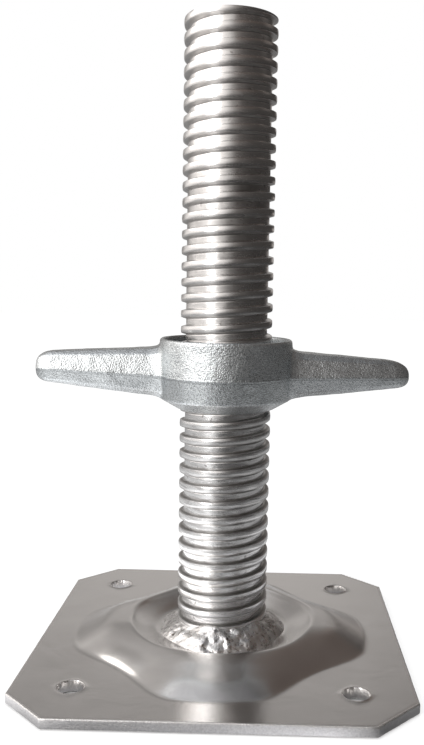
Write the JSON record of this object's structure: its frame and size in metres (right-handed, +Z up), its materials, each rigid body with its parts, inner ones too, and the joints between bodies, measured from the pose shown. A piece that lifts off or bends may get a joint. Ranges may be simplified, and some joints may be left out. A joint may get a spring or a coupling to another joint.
{
  "type": "adjustable support jack",
  "caption": "Screw jack foot: a pressed square plate with a welded upright threaded stem and a cast wing nut whose cup carries a tube at an adjustable height.",
  "frame": {"origin": "middle of the plate's underside, on the stem's axis", "axes": "+Z up along the stem, +X and +Y along the plate's sides; the nut's wings lie near the X axis"},
  "size_m": [0.1548, 0.15, 0.258],
  "materials": {
    "plate_zinc": "satin zinc plate on pressed sheet",
    "stem_zinc": "bright zinc plate on a rolled thread",
    "weld_metal": "rough plated weld",
    "cast_zinc": "grainy plated sand casting"
  },
  "bodies": {
    "base": {"base_plate": "plate_zinc", "threaded_stem": "stem_zinc", "weld_bead": "weld_metal"},
    "nut": {"wing_nut": "cast_zinc"}
  },
  "joints": [
    {"name": "nut_travel", "type": "slide", "parent": "base", "child": "nut", "axis": [0, 0, 1], "range_m": [-0.0799, 0.12255]}
  ]
}
